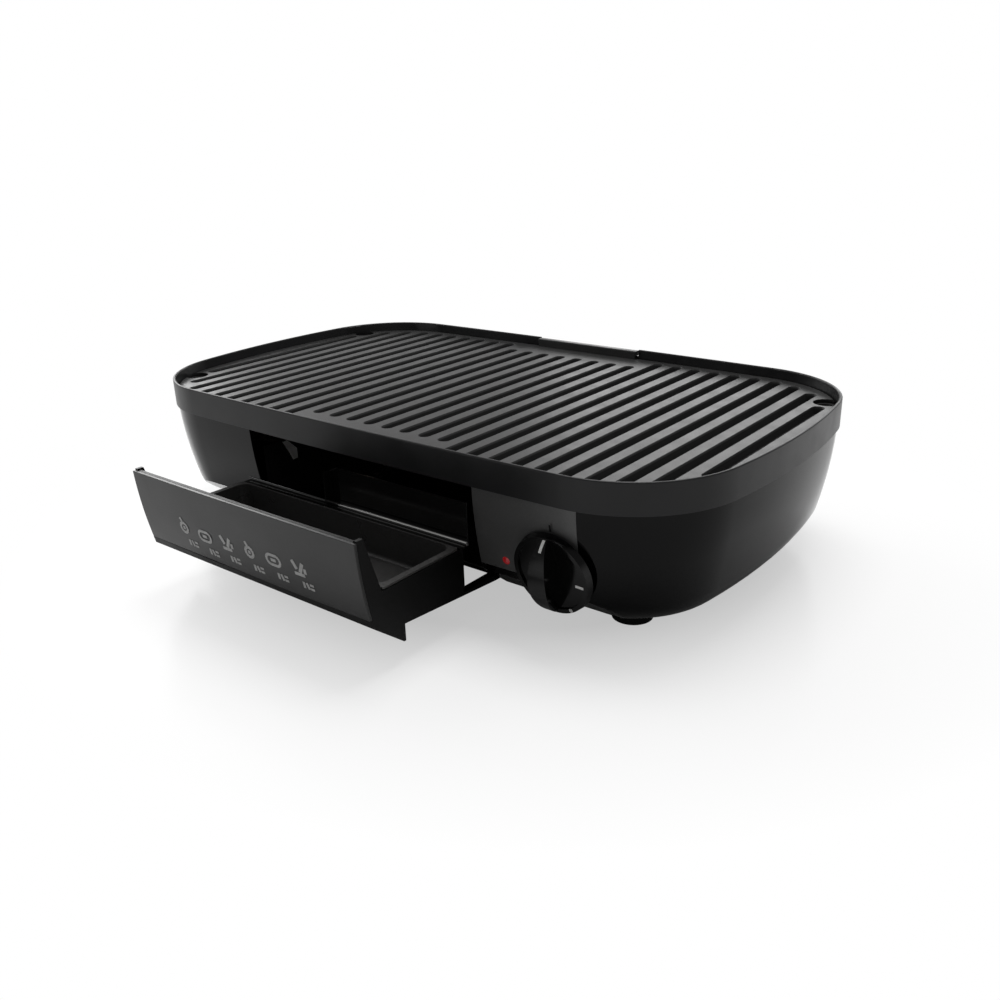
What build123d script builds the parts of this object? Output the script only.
from build123d import *
import os
from math import asin, atan2, cos, degrees, hypot, radians, sin, sqrt, tan

# An electric table grill: a ribbed grill plate lies in a matte rim frame on a glossy hull-shaped base.
# A shallow drawer with a food pan pulls out at the front, left of the control panel with its knob.
# X runs along the length, Y from the front (minus) to the back (plus), Z up. Feet stand on Z = 0.
# All pieces are placed about the middle of the body, then moved so that Y = 0 halves the whole depth.

# Body in plan
LENGTH = 480.0
DEPTH = 278.0
LONG_BOW_RADIUS = 6900.0
END_BOW_RADIUS = 508.0
CORNER_RADIUS = 75.0

# Body in height
HEIGHT = 106.0
RIM_BAND = 19.0
FOOT_HEIGHT = 14.0

# Base shell
SHELL_WALL = 2.5
SHELL_SETBACK = 1.5
SIDE_LEAN_TOP = 2.0
SIDE_LEAN_LOW = 14.0
BOTTOM_ROUND = 22.0
CREASE_HEIGHT = 33.0
UNDERSIDE_ANGLE = 38.7
SKIN_ABOVE_CREASE = 3.6
CORE_INSET = 52.0
FLOOR_VENT_FROM_END = 90.0
FLOOR_VENT_LENGTH = 46.0
FLOOR_VENT_WIDTH = 4.0
FLOOR_VENT_PITCH = 12.0
FLOOR_VENTS = 7
BACK_VENT_WIDTH = 4.0
BACK_VENT_PITCH = 12.0
BACK_VENTS = 9
BACK_VENT_LOW = 40.0
BACK_VENT_HIGH = 62.0
BACK_VENT_CUT = 30.0

# Rim frame
RIM_WALL = 2.2
RIM_EDGE_ROUND = 0.9
LEDGE_WIDTH = 12.0
LEDGE_THICKNESS = 2.5
SPIGOT_THICKNESS = 2.0
SPIGOT_DEPTH = 7.0
SPIGOT_GAP = 0.4
PEG_RADIUS = 4.0
PEG_HEIGHT = 3.0
PEG_PAD_RADIUS = 8.0
SPIGOT_CUT_DEPTH = 16.0
SPIGOT_CUT_MARGIN = 2.0

# Grill plate
PLATE_GAP = 0.8
PLATE_DEPTH_BELOW_RIM = 7.0
PLATE_THICKNESS = 9.0
PLATE_EDGE_ROUND = 1.0
RIB_PITCH = 16.25
GROOVE_WIDTH = 8.7
GROOVE_FLOOR_WIDTH = 5.4
GROOVE_DEPTH = 5.0
GROOVE_MARGIN = 6.0
SHORT_GROOVES_REACH = 60.0
SHORT_GROOVE_SETBACK = 26.7
WELL_FROM_END = 21.0
WELL_FROM_SIDE = 47.0
WELL_RADIUS = 8.5
WELL_DEPTH = 2.5
PEG_HOLE_GAP = 1.2
LIP_WIDTH = 96.0
LIP_GAP = 0.6
LIP_STEM = 3.2
NOTCH_DEPTH = 5.0
LIP_EDGE_ROUND = 0.8
PLATE_REST_GAP = 0.3

# Drawer bay, from the body's ends, front and back
BAY_LEFT_FROM_END = 141.2
BAY_RIGHT_FROM_END = 138.6
BAY_FROM_BACK = 95.0
BAY_SHEET = 0.8
BAY_FLOOR_SETBACK = 35.0
BAY_WALL_SETBACK = 13.0
LINER_FLANGE = 9.0
LINER_GAP = 0.3
REFLECTOR_BELOW_ELEMENT = 13.0
REFLECTOR_SHEET = 0.8
REFLECTOR_INSET = 20.0
REFLECTOR_HOLE_GAP = 1.5
CATCH_THICKNESS = 0.4
CATCH_SETBACK = 29.0
CATCH_LENGTH = 12.5
CATCH_HEIGHT = 15.5
CATCH_WIDTH = 4.5

# Drawer
DRAWER_OUT = 91.0
DRAWER_GAP = 0.8
FRONT_THICKNESS = 2.0
FRONT_TOP_GAP = 3.5
FRONT_BACKING = 2.0
DRAWER_WALL = 2.5
SIDE_TOP = 50.5
DRAWER_FLOOR = 25.0
DRAWER_BACK_SETBACK = 85.0
GUSSET_TOP_DEPTH = 7.0
GUSSET_FOOT_SETBACK = 19.0
GUSSET_RISE = 1.0
ARM_WIDTH = 5.6
ARM_THICKNESS = 4.0
ARM_BACK_GAP = 8.0
ARM_PAD = 50.0
ARM_TOE = 0.6
ARM_SLOPE = 80.0
ARM_SCREW_SETBACK = 12.0
ARM_SCREW_MARGIN = 6.0
ARM_SCREW_GRIP = 1.2
RUNNER_SHEET = 0.8
RUNNER_GAP = 0.4
BAFFLE_SHEET = 1.0
BAFFLE_OFFSET = 5.0
BAFFLE_BELOW_ELEMENT = 6.5
BAFFLE_WIDTH = 114.6
BAFFLE_FLANGE = 7.0
BAFFLE_CHAMFER_WIDTH = 6.0
BAFFLE_CHAMFER_HEIGHT = 3.0
LIP_ROD_RADIUS = 1.2
LIP_ROD_SINK = 0.48
PAN_GAP = 0.8
PAN_SHEET = 1.2
PAN_CORNER = 8.0
PAN_FLOOR_GAP = 0.5
PAN_RIM_GAP = 0.4
PAN_RIM_REACH = 0.6
PAN_RIM_CORNER = 2.0
PAN_SETBACK = 20.5

# Control panel, knob and lamp
PANEL_FROM_END = 68.0
PANEL_GAP = 0.3
PANEL_POCKET = 24.0
PANEL_CHEEK = 2.0
PANEL_CHEEK_DEPTH = 14.0
MARK_WIDTH = 1.2
MARK_LENGTH = 4.4
MARK_DEPTH = 0.5
MARK_FROM_KNOB = 0.1
KNOB_FROM_END = 84.0
KNOB_Z = 46.2
KNOB_RADIUS = 25.5
KNOB_FACE_RADIUS = 24.6
KNOB_SKIRT = 4.4
KNOB_GAP = 1.0
KNOB_WALL = 2.2
KNOB_FACE_WALL = 3.2
KNOB_DISH_RADIUS = 22.0
KNOB_DISH_DEPTH = 1.2
GRIP_WIDTH = 12.0
GRIP_END_WIDTH = 3.0
GRIP_RISE = 13.0
GRIP_END = 24.2
GRIP_ROOT = 2.0
GRIP_MARGIN = 0.3
POINTER_LENGTH = 5.0
POINTER_WIDTH = 1.8
POINTER_DEPTH = 0.8
POINTER_END_GAP = 0.4
SHAFT_RADIUS = 3.0
SHAFT_CLEARANCE = 0.06
SHAFT_HOLE_GAP = 0.8
LAMP_FROM_KNOB = 34.8
LAMP_Z = 43.2
LENS_RADIUS = 2.6
LENS_RISE = 1.0
LAMP_RADIUS = 4.2
LAMP_LENGTH = 14.0
INNER_GAP = 0.6

# Thermostat
THERMOSTAT_SIZE = 34.0
THERMOSTAT_DEPTH = 20.0
THERMOSTAT_SETBACK = 7.0
THERMOSTAT_WALL = 3.0
CAM_RADIUS = 9.0
CAM_THROW = 1.5
CAM_THICKNESS = 4.0
CAM_GAP = 2.0
LEAF_SHEET = 0.5
LEAF_WIDTH = 5.0
LEAF_GAP = 0.95
BRACKET_SHEET = 1.0
BRACKET_MARGIN = 6.0
BRACKET_LEG = 2.0
BRACKET_LEG_WIDTH = 12.0
BULB_RADIUS = 3.0
BULB_LENGTH = 70.0
BULB_FROM_END = 200.0
BULB_GAP = 1.5
CLIP_WIDTH = 8.0
CLIP_SHEET = 0.8
CAPILLARY_RADIUS = 0.9
CAPILLARY_FROM_KNOB = 18.0
CAPILLARY_SETBACK = 79.0

# Heating element
TUBE_RADIUS = 3.5
ELEMENT_BELOW_PLATE = 6.0
OUTER_RUN_FROM_SIDE = 44.0
INNER_RUN_Y = 32.0
LEFT_TURN_FROM_END = 85.0
RIGHT_TURN_FROM_END = 120.0
RETURN_FROM_END = 35.0
RETURN_BEND = 25.0
DOWN_BEND = 12.0
TERMINAL_Y = 18.0
TERMINAL_DROP = 20.0
BUSH_RADIUS = 5.5
BUSH_LENGTH = 8.0
TAB_LENGTH = 9.0
TAB_WIDTH = 6.4
TAB_SHEET = 0.8
SADDLE_SHEET = 1.2
SADDLE_FROM_LEFT_TURN = 23.0
SADDLE_FROM_RIGHT_TURN = 6.0
SADDLE_END = 9.0
SADDLE_FOOT = 4.0
SADDLE_TOP_GAP = 0.2

# Feet, screws and cord inlet
FOOT_FROM_END = 66.0
FOOT_FROM_SIDE = 62.0
FOOT_RADIUS = 12.5
FOOT_DRAFT = 1.5
FOOT_STEM_RADIUS = 3.5
FOOT_STEM_GAP = 0.2
FOOT_STEM_RISE = 2.5
FOOT_BARB = 1.5
FOOT_BARB_REACH = 1.0
SCREW_RADIUS = 1.8
SCREW_HOLE_GAP = 0.2
SCREW_HEAD_RADIUS = 3.4
SCREW_HEAD_GAP = 0.3
SCREW_HEAD = 2.2
SCREW_SEAT_DEPTH = 6.0
SCREW_TIP_GAP = 8.0
BOSS_RADIUS = 4.6
BOSS_INSET = 26.0
BOSS_SPLIT_DROP = 29.0
BOSS_CORNER_ANGLE = 64.0
BOSS_RIB = 3.0
BOSS_RIB_DEPTH = 9.0
POST_LEFT_FROM_END = 90.0
POST_RIGHT_FROM_END = 40.0
POST_FROM_SIDE = 75.0
GLAND_FROM_END = 90.0
GLAND_Z = 42.0
GLAND_BORE = 3.6
GLAND_BODY_RADIUS = 6.5
GLAND_FLANGE_RADIUS = 9.5
GLAND_FLANGE = 3.0
GLAND_LENGTH = 22.0
GLAND_SEAT = 0.4
CLAMP_WIDTH = 20.0
CLAMP_SETBACK = 8.0
CLAMP_COVER = 4.0
GLAND_GAP = 0.1
WIRE_RADIUS = 1.2
BLOCK_FROM_END = 56.0
BLOCK_Y = 24.0
BLOCK_PITCH = 12.0
BLOCK_HEIGHT = 16.0
BLOCK_BASE = 6.0
BLOCK_SCREW_OFFSET = 5.0
TERMINAL_SCREW_RADIUS = 2.3
TERMINAL_SCREW_LENGTH = 7.0
FUSE_FROM_END = 80.0
FUSE_Y = 40.0
FUSE_RADIUS = 3.0
FUSE_LENGTH = 26.0
FUSE_GAP = 1.0

# Heights that follow from the values above
RIM_BOTTOM = HEIGHT - RIM_BAND
PLATE_TOP = HEIGHT - PLATE_DEPTH_BELOW_RIM
PLATE_BOTTOM = PLATE_TOP - PLATE_THICKNESS
LEDGE_TOP = PLATE_BOTTOM - PLATE_REST_GAP
BASE_BOTTOM = FOOT_HEIGHT
FLOOR_TOP = BASE_BOTTOM + SHELL_WALL
TUBE_HEIGHT = PLATE_BOTTOM - ELEMENT_BELOW_PLATE
REFLECTOR_HEIGHT = TUBE_HEIGHT - REFLECTOR_BELOW_ELEMENT
TERMINAL_Z = TUBE_HEIGHT - TERMINAL_DROP
BULB_Z = PLATE_BOTTOM - BULB_RADIUS - BULB_GAP
FUSE_Z = REFLECTOR_HEIGHT - FUSE_RADIUS - FUSE_GAP
BOSS_SPLIT = RIM_BOTTOM - BOSS_SPLIT_DROP
FRONT_BOTTOM = CREASE_HEIGHT + SKIN_ABOVE_CREASE
FRONT_TOP = RIM_BOTTOM - FRONT_TOP_GAP
BAFFLE_TOP = TUBE_HEIGHT - BAFFLE_BELOW_ELEMENT
ARM_BOTTOM = FLOOR_TOP + BAY_SHEET + RUNNER_SHEET + RUNNER_GAP

# Places in plan that follow from the values above
HALF_LENGTH = LENGTH / 2
HALF_DEPTH = DEPTH / 2
PLATE_INSET = RIM_WALL + PLATE_GAP
WELL_X = HALF_LENGTH - WELL_FROM_END
WELL_Y = HALF_DEPTH - WELL_FROM_SIDE
SHORT_GROOVE_HALF = HALF_DEPTH - SHORT_GROOVE_SETBACK
BAY_LEFT = BAY_LEFT_FROM_END - HALF_LENGTH
BAY_RIGHT = HALF_LENGTH - BAY_RIGHT_FROM_END
BAY_BACK = HALF_DEPTH - BAY_FROM_BACK
BAY_FLOOR_FRONT = BAY_FLOOR_SETBACK - HALF_DEPTH
BAY_WALL_FRONT = BAY_WALL_SETBACK - HALF_DEPTH
CATCH_FRONT = CATCH_SETBACK - HALF_DEPTH
DRAWER_LEFT = BAY_LEFT + DRAWER_GAP
DRAWER_RIGHT = BAY_RIGHT - DRAWER_GAP
DRAWER_BACK = DRAWER_BACK_SETBACK - HALF_DEPTH
GUSSET_FOOT = GUSSET_FOOT_SETBACK - HALF_DEPTH
PAN_FRONT = PAN_SETBACK - HALF_DEPTH
ARM_FRONT = BAY_FLOOR_FRONT - DRAWER_GAP
ARM_BACK = BAY_BACK - ARM_BACK_GAP
BAFFLE_LEFT = DRAWER_RIGHT - BAFFLE_WIDTH
PANEL_LEFT = BAY_RIGHT + PANEL_GAP
PANEL_RIGHT = HALF_LENGTH - PANEL_FROM_END
KNOB_X = HALF_LENGTH - KNOB_FROM_END
LAMP_X = KNOB_X - LAMP_FROM_KNOB
BULB_X = HALF_LENGTH - BULB_FROM_END
CAPILLARY_X = KNOB_X - CAPILLARY_FROM_KNOB
CAPILLARY_Y = CAPILLARY_SETBACK - HALF_DEPTH
OUTER_RUN_Y = HALF_DEPTH - OUTER_RUN_FROM_SIDE
LEFT_TURN_X = LEFT_TURN_FROM_END - HALF_LENGTH
RIGHT_TURN_X = HALF_LENGTH - RIGHT_TURN_FROM_END
RETURN_X = HALF_LENGTH - RETURN_FROM_END
FOOT_X = HALF_LENGTH - FOOT_FROM_END
FOOT_Y = HALF_DEPTH - FOOT_FROM_SIDE
POST_LEFT_X = POST_LEFT_FROM_END - HALF_LENGTH
POST_RIGHT_X = HALF_LENGTH - POST_RIGHT_FROM_END
POST_Y = HALF_DEPTH - POST_FROM_SIDE
GLAND_X = HALF_LENGTH - GLAND_FROM_END
BLOCK_X = HALF_LENGTH - BLOCK_FROM_END
FUSE_X = HALF_LENGTH - FUSE_FROM_END
FAR = LENGTH + DEPTH


def corner_centre():
    """Centre of the back right corner arc, tangent to the bowed long side and the bowed end."""
    long_y = DEPTH / 2 - LONG_BOW_RADIUS
    end_x = LENGTH / 2 - END_BOW_RADIUS
    span = hypot(end_x, long_y)
    p = LONG_BOW_RADIUS - CORNER_RADIUS
    q = END_BOW_RADIUS - CORNER_RADIUS
    along = (p * p - q * q + span * span) / (2 * span)
    across = sqrt(p * p - along * along)
    ex, ey = end_x / span, -long_y / span
    return (along * ex + across * ey, long_y + along * ey - across * ex)


CORNER_X, CORNER_Y = corner_centre()
END_ANGLE = degrees(atan2(CORNER_Y, CORNER_X - LENGTH / 2 + END_BOW_RADIUS))
LONG_ANGLE = degrees(atan2(CORNER_Y - DEPTH / 2 + LONG_BOW_RADIUS, CORNER_X))


def plan_arcs():
    """The eight arcs of the plan outline: name, centre, radius, first angle and turn."""
    end_x = LENGTH / 2 - END_BOW_RADIUS
    long_y = DEPTH / 2 - LONG_BOW_RADIUS
    turn = LONG_ANGLE - END_ANGLE
    return [
        ("right", (end_x, 0), END_BOW_RADIUS, -END_ANGLE, 2 * END_ANGLE),
        ("back_right", (CORNER_X, CORNER_Y), CORNER_RADIUS, END_ANGLE, turn),
        ("back", (0, long_y), LONG_BOW_RADIUS, LONG_ANGLE, 180 - 2 * LONG_ANGLE),
        ("back_left", (-CORNER_X, CORNER_Y), CORNER_RADIUS, 180 - LONG_ANGLE, turn),
        ("left", (-end_x, 0), END_BOW_RADIUS, 180 - END_ANGLE, 2 * END_ANGLE),
        ("front_left", (-CORNER_X, -CORNER_Y), CORNER_RADIUS, 180 + END_ANGLE, turn),
        ("front", (0, -long_y), LONG_BOW_RADIUS, 180 + LONG_ANGLE, 180 - 2 * LONG_ANGLE),
        ("front_right", (CORNER_X, -CORNER_Y), CORNER_RADIUS, 360 - LONG_ANGLE, turn),
    ]


def plan_face(inset, z=0.0):
    """The plan outline drawn in by an inset, as a face at height z."""
    edges = []
    for _, (cx, cy), radius, start, turn in plan_arcs():
        plane = Plane(origin=(cx, cy, z))
        edges.append(Edge.make_circle(radius - inset, plane, start, start + turn))
    return Face(Wire(edges))


def slab(inset, low, high):
    """A plate with the plan outline, from height low to high."""
    return extrude(plan_face(inset, low), high - low, dir=(0, 0, 1))


def ring(section, arcs=None):
    """Sweeps a section, drawn with X = minus the inset and Z = height, round the plan outline."""
    pieces = []
    for name, (cx, cy), radius, start, turn in plan_arcs():
        if arcs is None or name in arcs:
            placed = Pos(cx, cy, 0) * Rot(0, 0, start) * Pos(radius, 0, 0) * section
            pieces.append(revolve(placed, Axis((cx, cy, 0), (0, 0, 1)), turn))
    return Part() + pieces


def half_depth_at(x, inset):
    """Half the depth of the plan outline, drawn in by an inset, at a place along the length."""
    x = abs(x)
    if x <= CORNER_X:
        return DEPTH / 2 - LONG_BOW_RADIUS + sqrt((LONG_BOW_RADIUS - inset) ** 2 - x * x)
    return CORNER_Y + sqrt(max((CORNER_RADIUS - inset) ** 2 - (x - CORNER_X) ** 2, 0.0))


def box(x0, x1, y0, y1, z0, z1):
    """A block between two corners."""
    middle = ((x0 + x1) / 2, (y0 + y1) / 2, (z0 + z1) / 2)
    return Pos(*middle) * Box(x1 - x0, y1 - y0, z1 - z0)


def post(x, y, z0, z1, radius):
    """An upright round post."""
    return Pos(x, y, (z0 + z1) / 2) * Cylinder(radius, z1 - z0)


def prism_x(points, x0, x1):
    """A YZ polygon drawn out along X from x0 to x1."""
    wire = Wire.make_polygon([(x0, y, z) for y, z in points])
    return extrude(Face(wire), x1 - x0, dir=(1, 0, 0))


def tube(path_points, radii, radius):
    """A round bar along straight runs joined by tangent arcs."""
    path = FilletPolyline(*path_points, radius=radii)
    return sweep(Plane(origin=path @ 0, z_dir=path % 0) * Circle(radius), path=path)


# Side curve of the base shell: an upper arc that leans in slowly and a lower arc into the floor
LOW_SIN = sin(radians(SIDE_LEAN_LOW))
TOP_SIN = sin(radians(SIDE_LEAN_TOP))
SIDE_RADIUS = (RIM_BOTTOM - BASE_BOTTOM - BOTTOM_ROUND * (1 - LOW_SIN)) / (LOW_SIN - TOP_SIN)


def side_point(angle, wall=0.0):
    """A point of the upper side arc, moved in by a wall, as (inset, height)."""
    lean = radians(angle)
    inset = SHELL_SETBACK + SIDE_RADIUS * (cos(radians(SIDE_LEAN_TOP)) - cos(lean))
    height = RIM_BOTTOM - SIDE_RADIUS * (sin(lean) - TOP_SIN)
    return (inset + wall * cos(lean), height + wall * sin(lean))


def low_point(angle, wall=0.0):
    """A point of the lower arc, moved in by a wall, as (inset, height)."""
    start_inset, start_height = side_point(SIDE_LEAN_LOW)
    low = radians(SIDE_LEAN_LOW)
    lean = radians(angle)
    inset = start_inset + BOTTOM_ROUND * (cos(low) - cos(lean))
    height = start_height - BOTTOM_ROUND * (sin(lean) - LOW_SIN)
    return (inset + wall * cos(lean), height + wall * sin(lean))


def lean_at(z):
    """Lean of the shell's upper side arc at a height, in degrees from upright."""
    return degrees(asin(TOP_SIN + (RIM_BOTTOM - z) / SIDE_RADIUS))


def shell_inset(z):
    """Inset of the shell's outer face at a height between the crease and the rim."""
    return side_point(lean_at(z))[0]


def face_plane(x, z, side):
    """Plane on the shell's outer face, front (side -1) or back (side 1), with Z pointing outwards."""
    lean = radians(lean_at(z))
    y = side * half_depth_at(x, shell_inset(z))
    return Plane(origin=(x, y, z), x_dir=(-side, 0, 0), z_dir=(0, side * cos(lean), -sin(lean)))


def front_y(z, x=0.0):
    """Y of the shell's outer front face at a height and a place along the length."""
    return -half_depth_at(x, shell_inset(z))


def section_point(pair):
    """An (inset, height) pair as a point of the section plane."""
    return Vector(-pair[0], 0, pair[1])


def arc_edge(start, middle, end):
    """An arc through three (inset, height) pairs."""
    return Edge.make_three_point_arc(*(section_point(p) for p in (start, middle, end)))


def polygon_section(points):
    """A straight-sided section from (inset, height) pairs."""
    return Face(Wire.make_polygon([section_point(p) for p in points]))


def side_section(wall, top):
    """The shell's full section, its outer face moved in by a wall, up to the height top."""
    mid_upper = (SIDE_LEAN_TOP + SIDE_LEAN_LOW) / 2
    mid_lower = (SIDE_LEAN_LOW + 90) / 2
    start = side_point(SIDE_LEAN_TOP, wall)
    join = side_point(SIDE_LEAN_LOW, wall)
    end = low_point(90, wall)
    edges = [
        arc_edge(start, side_point(mid_upper, wall), join),
        arc_edge(join, low_point(mid_lower, wall), end),
    ]
    around = [end, (CORE_INSET, end[1]), (CORE_INSET, top), (start[0], top), start]
    for first, second in zip(around, around[1:]):
        if abs(first[0] - second[0]) + abs(first[1] - second[1]) > 1e-6:
            edges.append(Edge.make_line(section_point(first), section_point(second)))
    return Face(Wire(edges))


def underside_cut(wall):
    """Everything below the slanted front underside, which is moved in by a wall."""
    slope = radians(UNDERSIDE_ANGLE)
    y = front_y(CREASE_HEIGHT) + wall * sin(slope)
    z = CREASE_HEIGHT + wall * cos(slope)
    reach = CREASE_HEIGHT * 2
    upper = (y - reach * cos(slope), z + reach * sin(slope))
    lower = (y + reach * cos(slope), z - reach * sin(slope))
    return prism_x([upper, lower, (upper[0], lower[1])], -FAR / 2, FAR / 2)


def side_solid(wall, top):
    """The volume inside the shell's outer face moved in by a wall."""
    floor = low_point(90, wall)[1]
    core = slab(CORE_INSET - 0.01, floor, top)
    return ring(side_section(wall, top)) + core - underside_cut(wall)


OUTER_VOLUME = side_solid(0.0, RIM_BOTTOM)
INNER_VOLUME = side_solid(SHELL_WALL, RIM_BOTTOM + SHELL_WALL)


def boss_points():
    """Places of the screw bosses that join the rim frame to the base shell."""
    reach = CORNER_RADIUS - BOSS_INSET
    x = CORNER_X + reach * cos(radians(BOSS_CORNER_ANGLE))
    y = CORNER_Y + reach * sin(radians(BOSS_CORNER_ANGLE))
    return [(sx * x, sy * y) for sx in (-1, 1) for sy in (-1, 1)]


def foot_points():
    """Centres of the four feet."""
    return [(sx * FOOT_X, sy * FOOT_Y) for sx in (-1, 1) for sy in (-1, 1)]


def well_points():
    """Centres of the four corner wells of the plate."""
    return [(sx * WELL_X, sy * WELL_Y) for sx in (-1, 1) for sy in (-1, 1)]


REFLECTOR_POSTS = [(x, y) for x in (POST_LEFT_X, POST_RIGHT_X) for y in (-POST_Y, POST_Y)]
KNOB_PLANE = face_plane(KNOB_X, KNOB_Z, -1)
LAMP_PLANE = face_plane(LAMP_X, LAMP_Z, -1)
GLAND_PLANE = face_plane(GLAND_X, GLAND_Z, 1)
THERMOSTAT_BACK = -THERMOSTAT_SETBACK - THERMOSTAT_DEPTH
CAM_LOW = -THERMOSTAT_SETBACK - THERMOSTAT_WALL - CAM_GAP - CAM_THICKNESS
KNOB_FACE = KNOB_GAP + KNOB_SKIRT


def bar_on(plane, z0, z1, radius):
    """A round bar on a plane's axis, between two heights above the plane."""
    return plane * Pos(0, 0, (z0 + z1) / 2) * Cylinder(radius, z1 - z0)


def on_knob(z0, z1, radius):
    """A round bar on the knob's axis, between two heights above the panel's face."""
    return bar_on(KNOB_PLANE, z0, z1, radius)


def base_shell():
    """Hull-shaped moulded base with the drawer opening, the panel opening, vents and bosses."""
    shell = OUTER_VOLUME - INNER_VOLUME
    for x, y in boss_points():
        shell += post(x, y, BASE_BOTTOM, BOSS_SPLIT, BOSS_RADIUS) & OUTER_VOLUME
    for x, y in REFLECTOR_POSTS:
        shell += post(x, y, FLOOR_TOP - SHELL_WALL / 2, REFLECTOR_HEIGHT, BOSS_RADIUS)
    front = -HALF_DEPTH - SHELL_WALL
    shell -= box(BAY_LEFT, BAY_RIGHT, front, BAY_FLOOR_FRONT, 0, HEIGHT)
    panel_back = PANEL_POCKET - HALF_DEPTH
    panel_low = FRONT_BOTTOM - PANEL_GAP
    shell -= box(BAY_RIGHT - 1, PANEL_RIGHT + PANEL_GAP, front, panel_back, panel_low, HEIGHT)
    for x, y in boss_points():
        shell -= post(x, y, 0, BOSS_SPLIT - SCREW_SEAT_DEPTH, SCREW_HEAD_RADIUS + SCREW_HEAD_GAP)
        shell -= post(x, y, 0, HEIGHT, SCREW_RADIUS + SCREW_HOLE_GAP)
    for x, y in foot_points():
        shell -= post(x, y, 0, FLOOR_TOP + 1, FOOT_STEM_RADIUS + FOOT_STEM_GAP)
    for side in (-1, 1):
        for row in range(FLOOR_VENTS):
            y = (row - (FLOOR_VENTS - 1) / 2) * FLOOR_VENT_PITCH
            slot = Box(FLOOR_VENT_LENGTH, FLOOR_VENT_WIDTH, 4 * SHELL_WALL)
            shell -= Pos(side * (HALF_LENGTH - FLOOR_VENT_FROM_END), y, FLOOR_TOP) * slot
    for column in range(BACK_VENTS):
        x = (column - (BACK_VENTS - 1) / 2) * BACK_VENT_PITCH
        x0, x1 = x - BACK_VENT_WIDTH / 2, x + BACK_VENT_WIDTH / 2
        shell -= box(x0, x1, HALF_DEPTH - BACK_VENT_CUT, DEPTH, BACK_VENT_LOW, BACK_VENT_HIGH)
    return shell - bar_on(GLAND_PLANE, -GLAND_LENGTH, GLAND_LENGTH, GLAND_BODY_RADIUS + GLAND_GAP)


def rim_frame():
    """Matte frame whose band surrounds the plate, with the plate's ledge, pegs and screw bosses."""
    under = LEDGE_TOP - LEDGE_THICKNESS
    spigot = SHELL_SETBACK + SHELL_WALL + SPIGOT_GAP
    r = RIM_EDGE_ROUND
    k = r * (1 - cos(radians(45)))
    points = [
        (RIM_WALL, HEIGHT - r), (RIM_WALL, LEDGE_TOP), (LEDGE_WIDTH, LEDGE_TOP), (LEDGE_WIDTH, under),
        (spigot + SPIGOT_THICKNESS, under), (spigot + SPIGOT_THICKNESS, RIM_BOTTOM - SPIGOT_DEPTH),
        (spigot, RIM_BOTTOM - SPIGOT_DEPTH), (spigot, RIM_BOTTOM), (0, RIM_BOTTOM), (0, HEIGHT - r),
    ]
    edges = [Edge.make_line(section_point(a), section_point(b)) for a, b in zip(points, points[1:])]
    edges.append(arc_edge((0, HEIGHT - r), (k, HEIGHT - k), (r, HEIGHT)))
    edges.append(Edge.make_line(section_point((r, HEIGHT)), section_point((RIM_WALL - r, HEIGHT))))
    edges.append(arc_edge((RIM_WALL - r, HEIGHT), (RIM_WALL - k, HEIGHT - k), (RIM_WALL, HEIGHT - r)))
    frame = ring(Face(Wire(edges)))
    inside = slab(RIM_WALL / 2, RIM_BOTTOM - SPIGOT_DEPTH, LEDGE_TOP)
    for x, y in boss_points():
        frame += post(x, y, BOSS_SPLIT, LEDGE_TOP, BOSS_RADIUS)
        outwards = degrees(atan2(abs(y) - CORNER_Y, abs(x) - CORNER_X))
        length = BOSS_INSET - spigot - SPIGOT_THICKNESS / 2
        rib = Pos(length / 2, 0, LEDGE_TOP - BOSS_RIB_DEPTH / 2) * Box(length, BOSS_RIB, BOSS_RIB_DEPTH)
        turned = Rot(0, 0, outwards) * rib
        if x < 0:
            turned = mirror(turned, about=Plane.YZ)
        if y < 0:
            turned = mirror(turned, about=Plane.XZ)
        frame += Pos(x, y, 0) * turned
    for x, y in well_points():
        frame += post(x, y, under, LEDGE_TOP, PEG_PAD_RADIUS) & inside
        frame += post(x, y, under, LEDGE_TOP + PEG_HEIGHT, PEG_RADIUS)
    for x, y in boss_points():
        frame -= post(x, y, 0, LEDGE_TOP - 2, SCREW_RADIUS)
    front = SHELL_SETBACK - HALF_DEPTH
    x0, x1 = BAY_LEFT - SPIGOT_CUT_MARGIN, PANEL_RIGHT + SPIGOT_CUT_MARGIN
    frame -= box(x0, x1, front, front + SPIGOT_CUT_DEPTH, RIM_BOTTOM - SPIGOT_DEPTH - 1, RIM_BOTTOM)
    half = LIP_WIDTH / 2 + LIP_GAP
    return frame - box(-half, half, HALF_DEPTH - LEDGE_WIDTH, DEPTH, HEIGHT - NOTCH_DEPTH, HEIGHT + 1)


def groove_centres():
    """Places of the grooves along the length: half a pitch either side of the middle, and outwards."""
    last = HALF_LENGTH - PLATE_INSET - GROOVE_MARGIN - GROOVE_WIDTH / 2
    count = int(last / RIB_PITCH + 0.5)
    return [side * (k + 0.5) * RIB_PITCH for k in range(count) for side in (-1, 1)]


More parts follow.
